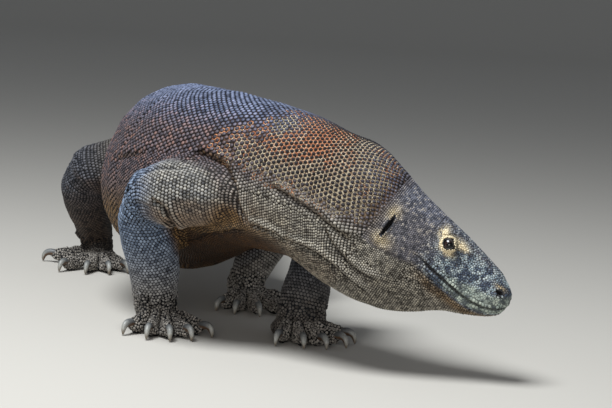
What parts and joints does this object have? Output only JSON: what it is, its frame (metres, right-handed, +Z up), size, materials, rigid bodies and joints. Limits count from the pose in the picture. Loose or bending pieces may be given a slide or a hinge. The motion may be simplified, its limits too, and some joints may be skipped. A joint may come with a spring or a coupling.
{
  "type": "komodo dragon",
  "caption": "Life-size komodo dragon standing as if in mid walk, body bent, lowered head turned to its left with the mouth shut, long tail trailing on the floor.",
  "frame": {"origin": "on the floor, under the middle of the animal's bounding outline", "axes": "+X from the hips towards the shoulders, along the body and tail; +Y towards the animal's left; +Z up"},
  "size_m": [2.1046, 0.544, 0.343],
  "materials": {
    "hide": "dry beaded scales, slate grey with tan, cream and rust speckles",
    "claw_horn": "worn horn, satin",
    "eye": "wet gloss"
  },
  "bodies": {
    "root": {"head": "hide", "neck": "hide", "trunk": "hide", "tail_base": "hide", "tail_middle": "hide", "tail_end": "hide", "tail_tip": "hide", "upper_arm_right": "hide", "forearm_right": "hide", "hand_right": "hide", "upper_arm_left": "hide", "forearm_left": "hide", "hand_left": "hide", "thigh_right": "hide", "shank_right": "hide", "foot_right": "hide", "thigh_left": "hide", "shank_left": "hide", "foot_left": "hide", "claw_hand_right_1": "claw_horn", "claw_hand_right_2": "claw_horn", "claw_hand_right_3": "claw_horn", "claw_hand_right_4": "claw_horn", "claw_hand_right_5": "claw_horn", "claw_hand_left_1": "claw_horn", "claw_hand_left_2": "claw_horn", "claw_hand_left_3": "claw_horn", "claw_hand_left_4": "claw_horn", "claw_hand_left_5": "claw_horn", "claw_foot_right_1": "claw_horn", "claw_foot_right_2": "claw_horn", "claw_foot_right_3": "claw_horn", "claw_foot_right_4": "claw_horn", "claw_foot_right_5": "claw_horn", "claw_foot_left_1": "claw_horn", "claw_foot_left_2": "claw_horn", "claw_foot_left_3": "claw_horn", "claw_foot_left_4": "claw_horn", "claw_foot_left_5": "claw_horn", "eye_right": "eye", "eye_left": "eye"}
  },
  "joints": []
}
